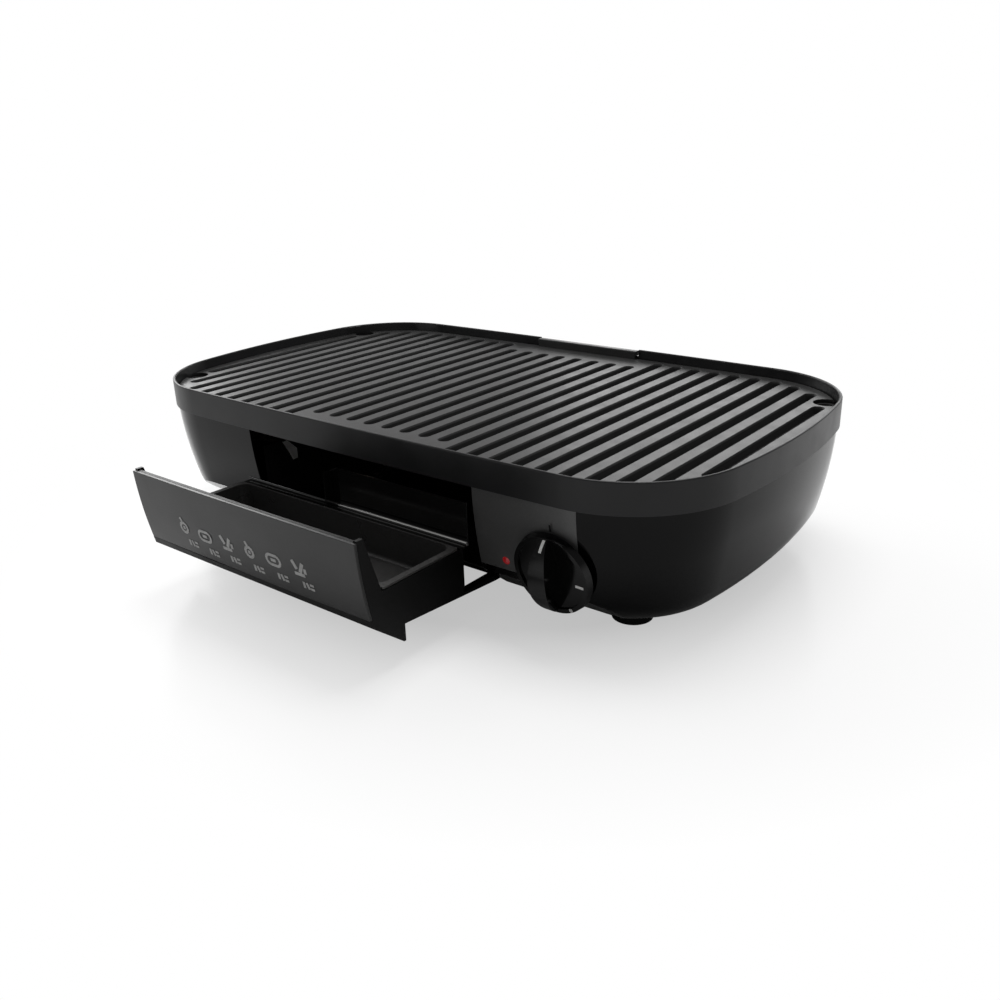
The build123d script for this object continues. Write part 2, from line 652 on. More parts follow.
def grill_plate():
    """Cast plate with flat-topped ribs, blind grooves, corner wells and a grip lip at the back."""
    plate = slab(PLATE_INSET, PLATE_BOTTOM, PLATE_TOP)
    rim_edges = plate.edges().filter_by_position(Axis.Z, PLATE_TOP - 0.01, PLATE_TOP + 0.01)
    plate = fillet(rim_edges, PLATE_EDGE_ROUND)
    lip_back = half_depth_at(LIP_WIDTH / 2, PLATE_INSET)
    lip_top = HEIGHT - LIP_GAP
    outer = half_depth_at(LIP_WIDTH / 2, LIP_GAP)
    shelf_low = HEIGHT - NOTCH_DEPTH + LIP_GAP
    lip = box(-LIP_WIDTH / 2, LIP_WIDTH / 2, lip_back - LIP_STEM, outer, shelf_low, lip_top)
    lip = fillet(lip.edges().filter_by(Axis.X), LIP_EDGE_ROUND)
    half_stem = LIP_WIDTH / 2 - LIP_GAP
    back_edge = lip_back - PLATE_EDGE_ROUND
    stem_top = shelf_low + LIP_EDGE_ROUND
    lip += box(-half_stem, half_stem, lip_back - LIP_STEM, back_edge, PLATE_TOP - 1, stem_top)
    plate += lip
    taper = degrees(atan2((GROOVE_WIDTH - GROOVE_FLOOR_WIDTH) / 2, GROOVE_DEPTH))
    for x in groove_centres():
        half = half_depth_at(abs(x) + GROOVE_WIDTH / 2, PLATE_INSET + GROOVE_MARGIN)
        if abs(x) < SHORT_GROOVES_REACH:
            half = min(half, SHORT_GROOVE_HALF)
        down = Plane(origin=(x, 0, PLATE_TOP), x_dir=(0, 1, 0), z_dir=(0, 0, -1))
        plate -= extrude(down * SlotOverall(2 * half, GROOVE_WIDTH), GROOVE_DEPTH, taper=taper)
    for x, y in well_points():
        plate -= post(x, y, PLATE_TOP - WELL_DEPTH, PLATE_TOP + 1, WELL_RADIUS)
        plate -= post(x, y, PLATE_BOTTOM - 1, PLATE_TOP, PEG_RADIUS + PEG_HOLE_GAP)
    return plate


def bay_liner():
    """Steel sheet that lines the drawer bay: floor, two sides, back and out-turned top flanges."""
    top = REFLECTOR_HEIGHT
    left, right = BAY_LEFT - BAY_SHEET, BAY_RIGHT + BAY_SHEET
    floor_top = FLOOR_TOP + BAY_SHEET
    liner = box(left, right, BAY_FLOOR_FRONT, BAY_BACK + BAY_SHEET, FLOOR_TOP, floor_top)
    liner += box(left, right, BAY_BACK, BAY_BACK + BAY_SHEET, FLOOR_TOP, top)
    flange_z = top - BAY_SHEET
    liner += box(left - LINER_FLANGE, BAY_LEFT, BAY_FLOOR_FRONT, BAY_BACK, flange_z, top)
    liner += box(BAY_RIGHT, right + LINER_FLANGE, BAY_FLOOR_FRONT, BAY_BACK, flange_z, top)
    inside = side_solid(SHELL_WALL + LINER_GAP, RIM_BOTTOM)
    for x0, x1 in ((left, BAY_LEFT), (BAY_RIGHT, right)):
        liner += box(x0, x1, BAY_WALL_FRONT, BAY_BACK, FLOOR_TOP, top) & inside
    return liner


def reflector_plate():
    """Bright sheet below the heating element, open over the drawer bay."""
    low, high = REFLECTOR_HEIGHT, REFLECTOR_HEIGHT + REFLECTOR_SHEET
    plate = slab(REFLECTOR_INSET, low, high)
    plate -= box(BAY_LEFT, BAY_RIGHT, -DEPTH, BAY_BACK, low - 1, high + 1)
    thermostat_right = KNOB_X + THERMOSTAT_SIZE
    front_run = -OUTER_RUN_Y - 2 * TUBE_RADIUS
    plate -= box(BAY_RIGHT - 1, thermostat_right, -DEPTH, front_run, low - 1, high + 1)
    for side in (-1, 1):
        plate -= post(RETURN_X, side * TERMINAL_Y, low - 1, high + 1, TUBE_RADIUS + REFLECTOR_HOLE_GAP)
    for x, y in REFLECTOR_POSTS:
        plate -= post(x, y, low - 1, high + 1, SCREW_RADIUS + SCREW_HOLE_GAP / 2)
    for x, y in boss_points():
        plate -= post(x, y, low - 1, high + 1, BOSS_RADIUS + REFLECTOR_HOLE_GAP)
    return plate - post(CAPILLARY_X, CAPILLARY_Y, low - 1, high + 1, CAPILLARY_RADIUS + REFLECTOR_HOLE_GAP)


def heating_element():
    """Tubular element: two front runs, two back runs and both ends turned down at the right."""
    z = TUBE_HEIGHT
    turn = (OUTER_RUN_Y - INNER_RUN_Y) / 2
    middle = (OUTER_RUN_Y + INNER_RUN_Y) / 2
    start = (RETURN_X, -TERMINAL_Y, TERMINAL_Z)
    corner = (RETURN_X, -TERMINAL_Y, z)
    far = (RETURN_X, -OUTER_RUN_Y, z)
    outer_end = (LEFT_TURN_X, -OUTER_RUN_Y, z)
    inner_start = (LEFT_TURN_X, -INNER_RUN_Y, z)
    lead = FilletPolyline(start, corner, far, outer_end, radius=[DOWN_BEND, RETURN_BEND])
    u_turn = ThreePointArc(outer_end, (LEFT_TURN_X - turn, -middle, z), inner_start)
    run = Line(inner_start, (RIGHT_TURN_X, -INNER_RUN_Y, z))
    bend = CenterArc((RIGHT_TURN_X, 0, z), INNER_RUN_Y, -90, 90)
    path = Wire(lead.edges() + u_turn.edges() + run.edges() + bend.edges())
    disc = Plane(origin=start, z_dir=(0, 0, 1)) * Circle(TUBE_RADIUS)
    half = sweep(disc, path=path)
    return half + mirror(half, about=Plane.XZ)


def element_brackets():
    """Upright steel saddles on the reflector that carry the element's runs."""
    pieces = []
    low = REFLECTOR_HEIGHT + REFLECTOR_SHEET
    for x in (LEFT_TURN_X + SADDLE_FROM_LEFT_TURN, RIGHT_TURN_X - SADDLE_FROM_RIGHT_TURN):
        for side in (-1, 1):
            y0, y1 = sorted((side * (OUTER_RUN_Y + SADDLE_END), side * (INNER_RUN_Y - SADDLE_END)))
            x0, x1 = x - SADDLE_SHEET / 2, x + SADDLE_SHEET / 2
            sheet = box(x0, x1, y0, y1, low, TUBE_HEIGHT - SADDLE_TOP_GAP)
            for y in (side * OUTER_RUN_Y, side * INNER_RUN_Y):
                sheet -= Pos(x, y, TUBE_HEIGHT) * Rot(0, 90, 0) * Cylinder(TUBE_RADIUS, 2 * SADDLE_SHEET)
            window = (y0 + 2 * SADDLE_END, y1 - 2 * SADDLE_END)
            sheet -= box(x0 - 1, x1 + 1, *window, low + SADDLE_FOOT, TUBE_HEIGHT)
            pieces.append(sheet)
    return pieces


def element_bushes():
    """Ceramic bushes on the element's two cold ends."""
    pieces = []
    for side in (-1, 1):
        bush = post(RETURN_X, side * TERMINAL_Y, TERMINAL_Z - BUSH_LENGTH, TERMINAL_Z, BUSH_RADIUS)
        pieces.append(bush)
    return pieces


def element_tabs():
    """Flat spade tabs that stand out below the bushes."""
    pieces = []
    top = TERMINAL_Z - BUSH_LENGTH
    for side in (-1, 1):
        middle = Pos(RETURN_X, side * TERMINAL_Y, top - TAB_LENGTH / 2)
        pieces.append(middle * Box(TAB_WIDTH, TAB_SHEET, TAB_LENGTH))
    return pieces


def drawer_band(outer, inner, low, high):
    """A curved band that follows the shell's front face, as wide as the drawer front."""
    a, b = lean_at(high), lean_at(low)
    middle = (a + b) / 2
    edges = [
        arc_edge(side_point(a, outer), side_point(middle, outer), side_point(b, outer)),
        Edge.make_line(section_point(side_point(b, outer)), section_point(side_point(b, inner))),
        arc_edge(side_point(b, inner), side_point(middle, inner), side_point(a, inner)),
        Edge.make_line(section_point(side_point(a, inner)), section_point(side_point(a, outer))),
    ]
    return Face(Wire(edges))


def drawer_front():
    """Grey front skin of the drawer, flush with the shell when the drawer is shut."""
    band = ring(drawer_band(0.0, FRONT_THICKNESS, FRONT_BOTTOM, FRONT_TOP), ["front"])
    return band & box(DRAWER_LEFT, DRAWER_RIGHT, -DEPTH, 0, 0, HEIGHT)


def drawer_body():
    """Black carrier of the drawer: backing, end gussets, sides, floor, back and front underside."""
    slope = radians(UNDERSIDE_ANGLE)
    crease_y = front_y(CREASE_HEIGHT)
    low_y = ARM_FRONT
    low_z = CREASE_HEIGHT - (low_y - crease_y) * tan(slope)
    top_y = front_y(FRONT_TOP) + GUSSET_TOP_DEPTH
    gusset = [
        (-HALF_DEPTH, FRONT_TOP + GUSSET_RISE), (top_y, FRONT_TOP + GUSSET_RISE), (GUSSET_FOOT, SIDE_TOP),
        (DRAWER_BACK, SIDE_TOP), (DRAWER_BACK, DRAWER_FLOOR), (low_y, DRAWER_FLOOR),
        (low_y, low_z), (crease_y, CREASE_HEIGHT), (-HALF_DEPTH, CREASE_HEIGHT),
    ]
    body = prism_x(gusset, DRAWER_LEFT, DRAWER_LEFT + DRAWER_WALL)
    body += prism_x(gusset, DRAWER_RIGHT - DRAWER_WALL, DRAWER_RIGHT)
    floor_top = DRAWER_FLOOR + DRAWER_WALL
    body += box(DRAWER_LEFT, DRAWER_RIGHT, crease_y, DRAWER_BACK, DRAWER_FLOOR, floor_top)
    body += box(DRAWER_LEFT, DRAWER_RIGHT, DRAWER_BACK - DRAWER_WALL, DRAWER_BACK, DRAWER_FLOOR, SIDE_TOP)
    thick = DRAWER_WALL / cos(slope)
    underside = [
        (crease_y, CREASE_HEIGHT), (low_y, low_z), (low_y, DRAWER_FLOOR),
        (low_y - DRAWER_WALL, DRAWER_FLOOR), (low_y - DRAWER_WALL, low_z + thick),
        (crease_y, CREASE_HEIGHT + thick),
    ]
    body += prism_x(underside, DRAWER_LEFT, DRAWER_RIGHT)
    inner = FRONT_THICKNESS + FRONT_BACKING
    backing = ring(drawer_band(0.0, inner, CREASE_HEIGHT, FRONT_TOP), ["front"])
    body += backing & box(DRAWER_LEFT, DRAWER_RIGHT, -DEPTH, 0, 0, HEIGHT)
    body = body & OUTER_VOLUME
    body -= ring(drawer_band(-1.0, FRONT_THICKNESS, FRONT_BOTTOM, RIM_BOTTOM - PANEL_GAP), ["front"])
    for x, y in drawer_screw_points():
        body -= post(x, y, 0, HEIGHT, SCREW_RADIUS)
    return body


def drawer_screw_points():
    """Places of the screws that hold the drawer's arms."""
    half = ARM_WIDTH / 2
    setbacks = (ARM_SCREW_SETBACK, ARM_PAD - ARM_SCREW_MARGIN)
    return [(x, ARM_FRONT + y) for x in (DRAWER_LEFT + half, DRAWER_RIGHT - half) for y in setbacks]


def drawer_arms():
    """Two bars below the drawer that run back into the runners, their lower edges rising to the front."""
    high = ARM_BOTTOM + ARM_THICKNESS
    pad_back = ARM_FRONT + ARM_PAD
    profile = [
        (ARM_FRONT, DRAWER_FLOOR), (ARM_FRONT, DRAWER_FLOOR - ARM_TOE), (ARM_FRONT + ARM_SLOPE, ARM_BOTTOM),
        (ARM_BACK, ARM_BOTTOM), (ARM_BACK, high), (pad_back, high), (pad_back, DRAWER_FLOOR),
    ]
    arms = []
    for x0, x1 in ((DRAWER_LEFT, DRAWER_LEFT + ARM_WIDTH), (DRAWER_RIGHT - ARM_WIDTH, DRAWER_RIGHT)):
        arm = prism_x(profile, x0, x1)
        for x, y in drawer_screw_points():
            arm -= post(x, y, 0, HEIGHT, SCREW_RADIUS)
        arms.append(arm)
    return arms


def drawer_runner(side):
    """Sheet steel channel on the bay wall that holds one drawer arm."""
    arm_top = ARM_BOTTOM + ARM_THICKNESS
    low = ARM_BOTTOM - RUNNER_GAP - RUNNER_SHEET
    high = arm_top + RUNNER_GAP + RUNNER_SHEET
    reach = DRAWER_GAP + ARM_WIDTH
    y0, y1 = BAY_FLOOR_FRONT, BAY_BACK
    wall = BAY_LEFT if side < 0 else BAY_RIGHT
    inner = wall - side * reach
    web = wall - side * (DRAWER_GAP - RUNNER_GAP)
    runner = box(*sorted((wall, web)), y0, y1, low, high)
    runner += box(*sorted((wall, inner)), y0, y1, low, low + RUNNER_SHEET)
    foot = ARM_FRONT + ARM_PAD + DRAWER_GAP
    return runner + box(*sorted((wall, inner)), foot, y1, high - RUNNER_SHEET, high)


def drawer_baffle():
    """Glossy sheet behind the pan: a bright rolled lip all along and a tall screen at the right."""
    y0 = DRAWER_BACK - DRAWER_WALL
    y1 = DRAWER_BACK + BAFFLE_OFFSET
    z0 = SIDE_TOP
    baffle = box(DRAWER_LEFT, DRAWER_RIGHT, y0, y1, z0, z0 + BAFFLE_SHEET)
    rod_z = z0 + BAFFLE_SHEET + LIP_ROD_RADIUS - LIP_ROD_SINK
    length = DRAWER_RIGHT - DRAWER_LEFT
    middle = (DRAWER_LEFT + DRAWER_RIGHT) / 2
    baffle += Pos(middle, y1 - LIP_ROD_RADIUS, rod_z) * Rot(0, 90, 0) * Cylinder(LIP_ROD_RADIUS, length)
    shoulder = BAFFLE_TOP - BAFFLE_CHAMFER_HEIGHT
    screen = [
        (BAFFLE_LEFT, z0), (DRAWER_RIGHT, z0), (DRAWER_RIGHT, BAFFLE_TOP),
        (BAFFLE_LEFT + BAFFLE_CHAMFER_WIDTH, BAFFLE_TOP), (BAFFLE_LEFT, shoulder),
    ]
    face = Face(Wire.make_polygon([(x, y1, z) for x, z in screen]))
    baffle += extrude(face, BAFFLE_SHEET, dir=(0, -1, 0))
    x1 = BAFFLE_LEFT + BAFFLE_SHEET
    return baffle + box(BAFFLE_LEFT, x1, y1 - BAFFLE_FLANGE, y1, z0, shoulder)


def drawer_pan():
    """Pressed steel food pan with rounded corners and a flat rim, which lifts out of the drawer."""
    x0 = DRAWER_LEFT + DRAWER_WALL + PAN_GAP
    x1 = DRAWER_RIGHT - DRAWER_WALL - PAN_GAP
    y0 = PAN_FRONT
    y1 = DRAWER_BACK - DRAWER_WALL - PAN_GAP
    z0 = DRAWER_FLOOR + DRAWER_WALL + PAN_FLOOR_GAP
    z1 = SIDE_TOP + PAN_RIM_GAP
    outer = box(x0, x1, y0, y1, z0, z1 + PAN_SHEET)
    outer = fillet(outer.edges().filter_by(Axis.Z), PAN_CORNER)
    outer = fillet(outer.faces().sort_by(Axis.Z)[0].edges(), PAN_CORNER / 2)
    t = PAN_SHEET
    inner = box(x0 + t, x1 - t, y0 + t, y1 - t, z0 + t, z1 + 2 * t)
    inner = fillet(inner.edges().filter_by(Axis.Z), PAN_CORNER - t)
    inner = fillet(inner.faces().sort_by(Axis.Z)[0].edges(), PAN_CORNER / 2 - t)
    rim_x0 = DRAWER_LEFT + PAN_RIM_GAP
    rim_x1 = DRAWER_RIGHT - PAN_RIM_GAP
    rim = box(rim_x0, rim_x1, y0 - PAN_RIM_REACH, y1, z1, z1 + t)
    rim = fillet(rim.edges().filter_by(Axis.Z), PAN_RIM_CORNER)
    return outer + rim - inner


def drawer_screws():
    """Flush screws that fix the arms to the drawer carrier."""
    low, top = DRAWER_FLOOR - ARM_SCREW_GRIP, DRAWER_FLOOR + DRAWER_WALL
    return [post(x, y, low, top, SCREW_RADIUS) for x, y in drawer_screw_points()]


def control_panel():
    """Grey panel right of the drawer, flush with the shell, with knob, lamp and cheek."""
    top = RIM_BOTTOM - PANEL_GAP
    band = ring(drawer_band(0.0, SHELL_WALL, FRONT_BOTTOM, top), ["front", "front_right"])
    panel = band & box(PANEL_LEFT, PANEL_RIGHT, -DEPTH, 0, 0, HEIGHT)
    cheek_back = front_y(RIM_BOTTOM) + PANEL_CHEEK_DEPTH
    cheek = box(PANEL_LEFT, PANEL_LEFT + PANEL_CHEEK, -DEPTH, cheek_back, FRONT_BOTTOM, top)
    inside = side_solid(SHELL_WALL / 2, RIM_BOTTOM)
    liner_right = BAY_RIGHT + BAY_SHEET + PANEL_GAP
    blocked = box(BAY_LEFT, liner_right, BAY_WALL_FRONT - PANEL_GAP, 0, 0, REFLECTOR_HEIGHT + PANEL_GAP)
    panel += (cheek & inside) - blocked
    panel -= on_knob(-PANEL_POCKET, PANEL_POCKET, SHAFT_RADIUS + SHAFT_HOLE_GAP)
    panel -= bar_on(LAMP_PLANE, -PANEL_POCKET, PANEL_POCKET, LENS_RADIUS)
    mark_y = KNOB_RADIUS + MARK_FROM_KNOB + MARK_LENGTH / 2
    return panel - KNOB_PLANE * Pos(0, mark_y, 0) * Box(MARK_WIDTH, MARK_LENGTH, 2 * MARK_DEPTH)


def grip_volume(rise):
    """The knob's arched grip bar, its top at a given rise above the skirt in the middle."""
    foot = KNOB_FACE - GRIP_ROOT
    tall = rise + GRIP_ROOT
    arch_radius = (GRIP_END ** 2 + rise ** 2) / (2 * rise)
    arch = KNOB_PLANE * Pos(0, 0, KNOB_FACE + rise - arch_radius) * Rot(0, 90, 0)
    swell = (GRIP_WIDTH - GRIP_END_WIDTH) / 2
    side_radius = (GRIP_END ** 2 + swell ** 2) / (2 * swell)
    fin = on_knob(foot, foot + tall + 1, KNOB_FACE_RADIUS - GRIP_MARGIN)
    for side in (-1, 1):
        middle = KNOB_PLANE * Pos(side * (GRIP_WIDTH / 2 - side_radius), 0, foot + tall / 2)
        fin = fin & middle * Cylinder(side_radius, 2 * tall)
    return fin & arch * Cylinder(arch_radius, 2 * KNOB_RADIUS)


def control_knob():
    """Round knob with a skirt, a dished face and an arched bar grip across it."""
    lean = degrees(atan2(KNOB_RADIUS - KNOB_FACE_RADIUS, KNOB_SKIRT))
    knob = KNOB_PLANE * Pos(0, 0, KNOB_GAP) * extrude(Circle(KNOB_RADIUS), KNOB_SKIRT, taper=lean)
    knob -= on_knob(KNOB_FACE - KNOB_DISH_DEPTH, KNOB_FACE + 1, KNOB_DISH_RADIUS)
    knob += grip_volume(GRIP_RISE)
    knob -= on_knob(0, KNOB_FACE - KNOB_FACE_WALL, KNOB_FACE_RADIUS - KNOB_WALL)
    knob += on_knob(KNOB_GAP, KNOB_FACE - KNOB_FACE_WALL / 2, SHAFT_RADIUS + KNOB_WALL)
    knob -= on_knob(0, KNOB_FACE, SHAFT_RADIUS)
    return knob - pointer_bar()


def pointer_bar():
    """The space of the white inlay at the upper end of the grip."""
    y = GRIP_END - POINTER_END_GAP - POINTER_LENGTH / 2
    bar = KNOB_PLANE * Pos(0, y, KNOB_FACE + GRIP_RISE / 2) * Box(POINTER_WIDTH, POINTER_LENGTH, GRIP_RISE)
    return bar & (grip_volume(GRIP_RISE) - grip_volume(GRIP_RISE - POINTER_DEPTH))


def knob_pointer():
    """White inlay on the upper end of the knob's grip."""
    return pointer_bar()


def thermostat_shaft():
    """Shaft that the knob sits on, through the panel and the thermostat."""
    back = THERMOSTAT_BACK + THERMOSTAT_WALL / 2
    return on_knob(back, KNOB_FACE, SHAFT_RADIUS)


def thermostat_cam():
    """Snail cam on the shaft, inside the thermostat."""
    lobe = KNOB_PLANE * Pos(CAM_THROW, 0, CAM_LOW + CAM_THICKNESS / 2) * Cylinder(CAM_RADIUS, CAM_THICKNESS)
    return lobe - on_knob(CAM_LOW - 1, CAM_LOW + CAM_THICKNESS + 1, SHAFT_RADIUS)


def thermostat_body():
    """Moulded thermostat housing, open at the back, with the shaft's bearing bore."""
    front = -THERMOSTAT_SETBACK
    length = THERMOSTAT_DEPTH - THERMOSTAT_WALL
    size = THERMOSTAT_SIZE
    outer = KNOB_PLANE * Pos(0, 0, front - length / 2) * Box(size, size, length)
    hollow = size - 2 * THERMOSTAT_WALL
    cavity = KNOB_PLANE * Pos(0, 0, front - THERMOSTAT_WALL - length / 2) * Box(hollow, hollow, length)
    return outer - cavity - on_knob(THERMOSTAT_BACK, 0, SHAFT_RADIUS + SHAFT_CLEARANCE)


def thermostat_cover():
    """Back cover of the thermostat with the shaft's rear bearing."""
    z = THERMOSTAT_BACK + THERMOSTAT_WALL / 2
    cover = KNOB_PLANE * Pos(0, 0, z) * Box(THERMOSTAT_SIZE, THERMOSTAT_SIZE, THERMOSTAT_WALL)
    return cover - on_knob(z - SHAFT_CLEARANCE, 0, SHAFT_RADIUS + SHAFT_CLEARANCE)


def contact_leaf():
    """Switch leaf beside the cam, fixed at one end of the housing."""
    half = THERMOSTAT_SIZE / 2 - THERMOSTAT_WALL
    y = half - LEAF_GAP - LEAF_SHEET / 2
    return KNOB_PLANE * Pos(0, y, CAM_LOW + CAM_THICKNESS / 2) * Box(2 * half, LEAF_SHEET, LEAF_WIDTH)


def thermostat_bracket():
    """Sheet steel bracket between the panel and the thermostat."""
    z = BRACKET_SHEET / 2 - THERMOSTAT_SETBACK
    tall = THERMOSTAT_SIZE - BRACKET_MARGIN
    sheet = KNOB_PLANE * Pos(0, 0, z) * Box(THERMOSTAT_SIZE + BRACKET_MARGIN, tall, BRACKET_SHEET)
    length = THERMOSTAT_SETBACK - BRACKET_SHEET - SHELL_WALL - INNER_GAP
    for side in (-1, 1):
        place = Pos(side * THERMOSTAT_SIZE / 4, 0, BRACKET_SHEET - THERMOSTAT_SETBACK + length / 2)
        sheet += KNOB_PLANE * place * Box(BRACKET_LEG, BRACKET_LEG_WIDTH, length)
    return sheet - on_knob(THERMOSTAT_BACK, 0, SHAFT_RADIUS + SHAFT_HOLE_GAP)


def behind_thermostat(x, y, length):
    """Start and end of a lead that leaves the thermostat's back at (x, y) and runs straight back."""
    start = KNOB_PLANE.from_local_coords((x, y, THERMOSTAT_BACK))
    return start, start - KNOB_PLANE.z_dir * length


def capillary_bulb():
    """Sensor bulb of the thermostat, just below the plate between the inner runs."""
    return Pos(BULB_X, 0, BULB_Z) * Rot(0, 90, 0) * Cylinder(BULB_RADIUS, BULB_LENGTH)


def capillary_tube():
    """Thin tube from the thermostat's back to the sensor bulb."""
    start, first = behind_thermostat(-10, 0, 16)
    level = BULB_Z
    end_x = BULB_X + BULB_LENGTH / 2
    below = TUBE_HEIGHT - TUBE_RADIUS - 3 * CAPILLARY_RADIUS
    points = [
        start, first, Vector(CAPILLARY_X, CAPILLARY_Y, first.Z + 4), Vector(CAPILLARY_X, CAPILLARY_Y, below),
        Vector(end_x + 36, -14, below), Vector(end_x + 22, 0, level), Vector(end_x, 0, level),
    ]
    return tube(points, [8, 9, 8, 5, 5], CAPILLARY_RADIUS)


def bulb_clip():
    """Spring steel stand on the liner's back flange that presses the bulb up to the plate."""
    low = REFLECTOR_HEIGHT + REFLECTOR_SHEET
    seat = BULB_Z - BULB_RADIUS
    x0, x1 = BULB_X - CLIP_WIDTH / 2, BULB_X + CLIP_WIDTH / 2
    clip = box(x0, x1, BULB_RADIUS, BAY_BACK + CLIP_WIDTH, low, low + CLIP_SHEET)
    clip += box(x0, x1, BULB_RADIUS, BULB_RADIUS + CLIP_SHEET, low, seat + BULB_RADIUS)
    clip += box(x0, x1, -BULB_RADIUS, BULB_RADIUS + CLIP_SHEET, seat - CLIP_SHEET, seat)
    return clip


def indicator_lamp():
    """Neon lamp holder behind the panel."""
    front = -SHELL_WALL - INNER_GAP
    return bar_on(LAMP_PLANE, front - LAMP_LENGTH, front, LAMP_RADIUS)


def lamp_lens():
    """Red lens of the indicator lamp, a low dome through the panel."""
    sphere_radius = (LENS_RADIUS ** 2 + LENS_RISE ** 2) / (2 * LENS_RISE)
    dome = LAMP_PLANE * Pos(0, 0, LENS_RISE - sphere_radius) * Sphere(sphere_radius)
    return dome & bar_on(LAMP_PLANE, -SHELL_WALL, LENS_RISE, LENS_RADIUS)


def block_holes():
    """Places along X of the terminal block's two holes."""
    return (BLOCK_X - BLOCK_PITCH / 2, BLOCK_X + BLOCK_PITCH / 2)


def terminal_block():
    """Two-way ceramic terminal block on the base floor."""
    half_x, half_y = BLOCK_PITCH + 2, BLOCK_PITCH - 2
    top = FLOOR_TOP + BLOCK_HEIGHT
    block = box(BLOCK_X - half_x, BLOCK_X + half_x, BLOCK_Y - half_y, BLOCK_Y + half_y, FLOOR_TOP, top)
    low = FLOOR_TOP + BLOCK_BASE
    for x in block_holes():
        block -= post(x, BLOCK_Y - BLOCK_SCREW_OFFSET, low, top + 1, TERMINAL_SCREW_RADIUS)
    return block


def terminal_screws():
    """Screws of the terminal block."""
    low = FLOOR_TOP + BLOCK_BASE
    high = low + TERMINAL_SCREW_LENGTH
    return [post(x, BLOCK_Y - BLOCK_SCREW_OFFSET, low, high, TERMINAL_SCREW_RADIUS) for x in block_holes()]


def thermal_fuse():
    """Safety fuse in its sleeve, close below the reflector."""
    return Pos(FUSE_X, FUSE_Y, FUSE_Z) * Rot(0, 90, 0) * Cylinder(FUSE_RADIUS, FUSE_LENGTH)


def fuse_clip():
    """Sheet clip that hangs the fuse from the reflector."""
    x0, x1 = FUSE_X - CLIP_WIDTH / 2, FUSE_X + CLIP_WIDTH / 2
    low = FUSE_Z - FUSE_RADIUS - CLIP_SHEET
    reach = FUSE_RADIUS + CLIP_SHEET
    clip = box(x0, x1, FUSE_Y - reach, FUSE_Y + reach, low, low + CLIP_SHEET)
    for y in (FUSE_Y - reach, FUSE_Y + FUSE_RADIUS):
        clip += box(x0, x1, y, y + CLIP_SHEET, low, REFLECTOR_HEIGHT)
    return clip


def rubber_feet():
    """Four rubber feet, each with its barbed stem up through the base floor."""
    pieces = []
    draft = degrees(atan2(FOOT_DRAFT, FOOT_HEIGHT))
    for x, y in foot_points():
        pad = extrude(Circle(FOOT_RADIUS - FOOT_DRAFT), FOOT_HEIGHT, taper=-draft)
        pad = Pos(x, y, FOOT_HEIGHT) * Rot(180, 0, 0) * pad
        stem = post(x, y, FOOT_HEIGHT - 1, FLOOR_TOP + FOOT_STEM_RISE, FOOT_STEM_RADIUS)
        barb = post(x, y, FLOOR_TOP, FLOOR_TOP + FOOT_BARB, FOOT_STEM_RADIUS + FOOT_BARB_REACH)
        pieces.append(pad + stem + barb)
    return pieces


def assembly_screws():
    """Long screws from below that hold the base shell to the rim frame."""
    pieces = []
    seat = BOSS_SPLIT - SCREW_SEAT_DEPTH
    for x, y in boss_points():
        shank = post(x, y, seat, LEDGE_TOP - SCREW_TIP_GAP, SCREW_RADIUS)
        pieces.append(shank + post(x, y, seat - SCREW_HEAD, seat, SCREW_HEAD_RADIUS))
    return pieces


def reflector_screws():
    """Screws that hold the reflector to its posts."""
    high = REFLECTOR_HEIGHT + REFLECTOR_SHEET
    pieces = []
    for x, y in REFLECTOR_POSTS:
        shank = post(x, y, REFLECTOR_HEIGHT, high, SCREW_RADIUS)
        pieces.append(shank + post(x, y, high, high + SCREW_HEAD, SCREW_HEAD_RADIUS))
    return pieces


def cord_gland():
    """Rubber gland in the back of the base, where the mains cord enters."""
    gland = bar_on(GLAND_PLANE, GLAND_FLANGE - GLAND_LENGTH, GLAND_FLANGE, GLAND_BODY_RADIUS)
    gland += bar_on(GLAND_PLANE, GLAND_SEAT, GLAND_FLANGE, GLAND_FLANGE_RADIUS)
    return gland - bar_on(GLAND_PLANE, -2 * GLAND_LENGTH, GLAND_LENGTH, GLAND_BORE)


def cord_clamp():
    """Clamp block on the base floor that holds the cord inside."""
    middle = GLAND_PLANE.origin - GLAND_PLANE.z_dir * (GLAND_LENGTH + CLAMP_SETBACK)
    half = CLAMP_WIDTH / 2
    x0, x1 = GLAND_X - half, GLAND_X + half
    top = middle.Z + GLAND_BORE + CLAMP_COVER
    block = box(x0, x1, middle.Y - half / 2, middle.Y + half / 2, FLOOR_TOP, top)
    return block - bar_on(GLAND_PLANE, -4 * GLAND_LENGTH, 0, GLAND_BORE)


def catch_spring():
    """Bright leaf spring on the bay's left wall that the drawer snaps past, slanting down to the back."""
    front, back = CATCH_FRONT, CATCH_FRONT + CATCH_LENGTH
    high = REFLECTOR_HEIGHT - 1
    low = high - CATCH_HEIGHT
    middle = (high + low) / 2
    outline = [
        (front, high), (front + CATCH_WIDTH, high), (back, middle), (back, low),
        (back - CATCH_WIDTH, low), (front + CATCH_WIDTH, middle),
    ]
    return prism_x(outline, BAY_LEFT, BAY_LEFT + CATCH_THICKNESS)


